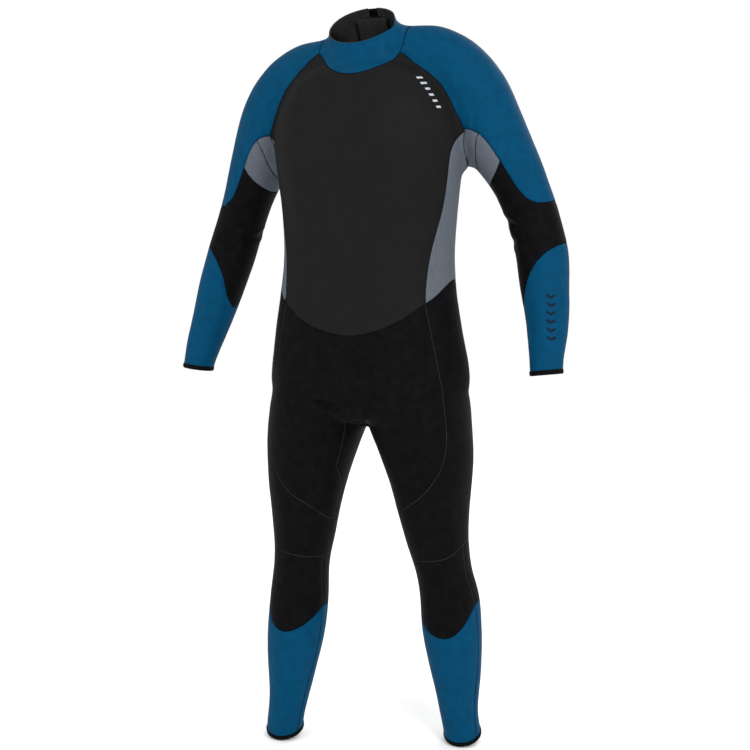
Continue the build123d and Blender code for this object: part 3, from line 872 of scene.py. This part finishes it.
def binding(node, middle, axis):
    """A folded tape round the edge: outside, over the lip, and inside."""
    outer, inner, low = 1.3, -3.6, 1.2
    corners = [(outer - 0.9, HEM), (outer, HEM - 0.8), (outer + 0.15, HEM / 2), (outer, 0.8)]
    corners += [(outer - 0.9, -low + 0.2), (-1.15, -low - 0.3), (inner + 0.9, -low + 0.2)]
    corners += [(inner, 0.8), (inner - 0.15, HEM / 2), (inner, HEM - 0.8), (inner + 0.9, HEM)]
    profile = [(r * MM, -h * MM) for r, h in corners]
    loop = opening_loop(middle, axis)
    verts, faces = [], []
    for hit, ray in loop:
        for r, h in profile:
            verts.append(tuple(hit + ray * r + axis * h))
    size = len(profile)
    for k in range(len(loop)):
        m = (k + 1) % len(loop)
        for i in range(size):
            j = (i + 1) % size
            faces.append((k * size + i, k * size + j, m * size + j, m * size + i))
    faces = outward(np.array(verts), faces)
    piece = new_object(f"{node}_binding", verts, faces)
    rounded = piece.modifiers.new("round", "SUBSURF")
    rounded.levels = rounded.render_levels = 1
    piece.data.materials.append(FINISH["binding"])
    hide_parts(node)
    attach(piece, BODY_OF[node])


for node, (middle, axis) in openings.items():
    binding(node, middle, axis)


# ---- stitching ------------------------------------------------------------------------
def resample(line, step):
    """Points at an even step along a line, or nothing for a very short one."""
    points = np.array([tuple(p) for p in line])
    gaps = np.linalg.norm(np.diff(points, axis=0), axis=1)
    t = np.concatenate(([0], np.cumsum(gaps)))
    if t[-1] < 4 * step:
        return None
    at = np.linspace(0, t[-1], int(t[-1] / step) + 1)
    return np.column_stack([np.interp(at, t, points[:, k]) for k in range(3)])


def tube_mesh(line, radius, sides):
    """A round thread along a line of points."""
    tangent = np.gradient(line, axis=0)
    tangent /= np.maximum(np.linalg.norm(tangent, axis=1), 1e-9)[:, None]
    reference = np.where(np.abs(tangent[:, 2:3]) > 0.9, (1.0, 0, 0), (0, 0, 1.0))
    across = np.cross(tangent, reference)
    across /= np.linalg.norm(across, axis=1)[:, None]
    over = np.cross(tangent, across)
    turn = np.linspace(0, 2 * pi, sides, endpoint=False)
    rings = line[:, None] + radius * (
        across[:, None] * np.cos(turn)[None, :, None] + over[:, None] * np.sin(turn)[None, :, None]
    )
    verts = rings.reshape(-1, 3)
    faces = []
    for i in range(len(line) - 1):
        for k in range(sides):
            m = (k + 1) % sides
            faces.append((i * sides + k, (i + 1) * sides + k, (i + 1) * sides + m, i * sides + m))
    faces.append(tuple(range(sides)))
    faces.append(tuple(reversed(range((len(line) - 1) * sides, len(line) * sides))))
    return verts, faces


STITCH, STITCH_HALF = 0.0016, 0.0011  # the length and the half width of a zigzag stitch
ZIGZAG_RADIUS, CORE_RADIUS = 0.00024, 0.0004
ZIGZAG_SINK, CORE_SINK = 0.55, 0.9  # how deep each thread lies, as a share of the groove
stitching = {}
for pair, line in seam_chains:
    nodes = sorted(pair)
    path = resample(line, STITCH)
    if path is None:
        continue
    both_dark = all(SLOT_OF[node] == "black_jersey" for node in nodes)
    colour = "grey_thread" if both_dark else "dark_thread"
    tangent = np.gradient(path, axis=0)
    tangent /= np.maximum(np.linalg.norm(tangent, axis=1), 1e-9)[:, None]
    skin_normal = np.array([tuple(skin_tree.find_nearest(Vector(p))[1]) for p in path])
    across = np.cross(skin_normal, tangent)
    swing = np.where(np.arange(len(path)) % 2 == 0, 1.0, -1.0)[:, None]
    sunk = skin_normal * (-GROOVE * ZIGZAG_SINK)
    zigzag = path + sunk + across * swing * STITCH_HALF
    core = path - skin_normal * GROOVE * CORE_SINK
    bundle = stitching.setdefault((limb_of(*nodes), colour), [[], [], 0])
    for thread, radius, sides in ((zigzag, ZIGZAG_RADIUS, 5), (core, CORE_RADIUS, 6)):
        verts, faces = tube_mesh(thread, radius, sides)
        bundle[0].append(verts)
        bundle[1].extend(tuple(i + bundle[2] for i in f) for f in faces)
        bundle[2] += len(verts)
for (limb_name, colour), (verts, faces, _) in stitching.items():
    piece = new_object(f"{limb_name}_{colour}", np.vstack(verts), faces)
    piece.data.materials.append(FINISH[colour])
    hold(piece, limb_name)


# ---- printed marks, generic -----------------------------------------------------------
PRINT_TOP, PRINT_FOOT = 0.00035, -0.0004  # a print's upper and lower side, off the skin


def printed(name, outlines, middle, along, finish, limb_name):
    """Flat outlines, in mm along and across a line, laid on the skin as a thin print."""
    middle = Vector(middle) * MM
    place, normal, _, _ = skin_tree.find_nearest(middle)
    along = Vector(along).normalized()
    along = (along - normal * along.dot(normal)).normalized()
    across = normal.cross(along)
    verts, faces = [], []
    for outline in outlines:
        first = len(verts)
        for lift in (PRINT_TOP, PRINT_FOOT):
            for u, v in outline:
                spot = place + along * u * MM + across * v * MM
                hit, hit_normal, _, _ = skin_tree.find_nearest(spot)
                verts.append(tuple(hit + hit_normal * lift))
        size = len(outline)
        columns = size // 2
        # an outline runs along its lower edge and back along its upper edge
        for i in range(columns - 1):
            a, b, c, d = i, i + 1, size - 2 - i, size - 1 - i
            faces.append((first + a, first + b, first + c, first + d))
            faces.append((first + size + d, first + size + c, first + size + b, first + size + a))
        for i in range(size):
            j = (i + 1) % size
            faces.append((first + i, first + size + i, first + size + j, first + j))
    piece = new_object(name, verts, outward(np.array(verts), faces), smooth=False)
    piece.data.materials.append(FINISH[finish])
    hold(piece, limb_name)


def bar(u, low, high, width, slant, steps=6):
    """A slanted bar across the line at u, from low to high."""
    heights = np.linspace(low, high, steps)
    lower = [(u + slant * h - width / 2, h) for h in heights]
    upper = [(u + slant * h + width / 2, h) for h in reversed(heights)]
    return lower + upper


BAR_HEIGHTS = (12, 12, 9, 9, 9, 9)
BAR_FIRST, BAR_PITCH, BAR_WIDTH, BAR_SLANT = -34, 13, 4.6, 0.35
bars = [
    bar(BAR_FIRST + BAR_PITCH * k, -h / 2, h / 2, BAR_WIDTH, BAR_SLANT)
    for k, h in enumerate(BAR_HEIGHTS)
]
printed("chest_mark", bars, (143, -38, 1268), (46, 5, -68), "chest_print", "torso")
CHEVRONS, CHEVRON_FIRST, CHEVRON_PITCH = 6, -40, 16
CHEVRON_REACH, CHEVRON_WIDTH, CHEVRON_SLANT = 8, 5.0, 0.6
chevrons = []
for k in range(CHEVRONS):
    u = CHEVRON_FIRST + CHEVRON_PITCH * k
    chevrons.append(bar(u, -CHEVRON_REACH, 0, CHEVRON_WIDTH, CHEVRON_SLANT))
    chevrons.append(bar(u, 0, CHEVRON_REACH, CHEVRON_WIDTH, -CHEVRON_SLANT))
printed("forearm_mark", chevrons, (371, -17, 856), (9, -32, -94), "arm_print", "left_arm")


# ---- zip, flap and neck tab -----------------------------------------------------------
def soft_copy(node, finish):
    """A copy of a small soft strip of the CAD, with its edges rounded."""
    copy = bmesh.new()
    copy.from_mesh(frame["nodes"][node].data)
    bmesh.ops.remove_doubles(copy, verts=copy.verts, dist=1e-5)
    bmesh.ops.dissolve_limit(copy, angle_limit=0.02, verts=copy.verts, edges=copy.edges)
    mesh = bpy.data.meshes.new(f"{node}_soft")
    copy.to_mesh(mesh)
    copy.free()
    piece = bpy.data.objects.new(f"{node}_soft", mesh)
    bpy.context.scene.collection.objects.link(piece)
    bevel = piece.modifiers.new("bevel", "BEVEL")
    bevel.width = 0.0003
    bevel.segments = 2
    bevel.limit_method = "ANGLE"
    mesh.shade_smooth()
    mesh.materials.clear()
    mesh.materials.append(FINISH[finish])
    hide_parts(node)
    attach(piece, BODY_OF[node])


SOFT_TRIM = {"back_flap": "lining", "neck_tab": "black_jersey", "hook_patch": "hook_and_loop",
             "loop_patch": "hook_and_loop", "left_zip_tape": "zip_tape", "right_zip_tape": "zip_tape"}
for node, finish in SOFT_TRIM.items():
    soft_copy(node, finish)
for node in ("left_tooth_row", "right_tooth_row", "zip_bottom_stop", "zip_top_stops",
             "zip_slider", "zip_pull"):
    for material_slot in frame["nodes"][node].material_slots:
        material_slot.material = FINISH[SLOT_OF[node]]
bm.free()

# ---- floor, light and camera ----------------------------------------------------------
FLOOR_Z, FLOOR_HALF = CAD_BOX[0][2] - 0.002, 6
floor_corners = [
    (x * FLOOR_HALF, y * FLOOR_HALF, FLOOR_Z) for x, y in ((-1, -1), (1, -1), (1, 1), (-1, 1))
]
floor = new_object("floor", floor_corners, [(0, 1, 2, 3)], smooth=False)
floor_finish, nodes, links, shader, place = material("floor", (0.98, 0.98, 0.98), 0.8)
mottled(nodes, links, shader, noise(nodes, links, place, 3), (0.975, 0.975, 0.975), (0.99, 0.99, 0.99))
floor.data.materials.append(floor_finish)

world = bpy.data.worlds.new("studio")
bpy.context.scene.world = world
world.use_nodes = True
world.node_tree.nodes["Background"].inputs["Color"].default_value = (1, 1, 1, 1)
world.node_tree.nodes["Background"].inputs["Strength"].default_value = 1.0


def softbox(name, position, target, size, power):
    """A rectangular lamp of some size and power in watts, aimed at a target."""
    light = bpy.data.lights.new(name, "AREA")
    light.shape = "RECTANGLE"
    light.size, light.size_y = size
    light.energy = power
    thing = bpy.data.objects.new(name, light)
    bpy.context.scene.collection.objects.link(thing)
    aim = Vector(target) - Vector(position)
    turned = aim.to_track_quat("-Z", "Y").to_matrix().to_4x4()
    thing.matrix_world = Matrix.Translation(position) @ turned


softbox("key", (2.4, -2.4, 2.6), (0, 0, 1.0), (1.2, 1.6), 75)
softbox("fill", (-2.2, -2.4, 1.8), (0, 0, 0.8), (1.4, 1.8), 22)
softbox("back_light", (0.6, 2.8, 2.6), (0, 0, 1.0), (2.0, 1.6), 35)

HEADING, PITCH, ROLL = radians(22.0), radians(7.4), radians(0.65)
ahead = Vector((-sin(HEADING) * cos(PITCH), cos(HEADING) * cos(PITCH), -sin(PITCH)))
level = Vector((cos(HEADING), sin(HEADING), 0))
raised = level.cross(ahead)
camera_x = level * cos(ROLL) - raised * sin(ROLL)
camera_y = raised * cos(ROLL) + level * sin(ROLL)
camera = bpy.data.cameras.new("camera")
camera.sensor_width = 36.0
camera.lens = 61.6
camera.shift_x = 0.01
view = bpy.data.objects.new("camera", camera)
bpy.context.scene.collection.objects.link(view)
turn = Matrix((camera_x, camera_y, -ahead)).transposed().to_4x4()
view.matrix_world = Matrix.Translation((0.9365, -2.318, 1.060)) @ turn
bpy.context.scene.camera = view
bpy.context.scene.view_settings.view_transform = "Standard"

bpy.context.view_layer.update()
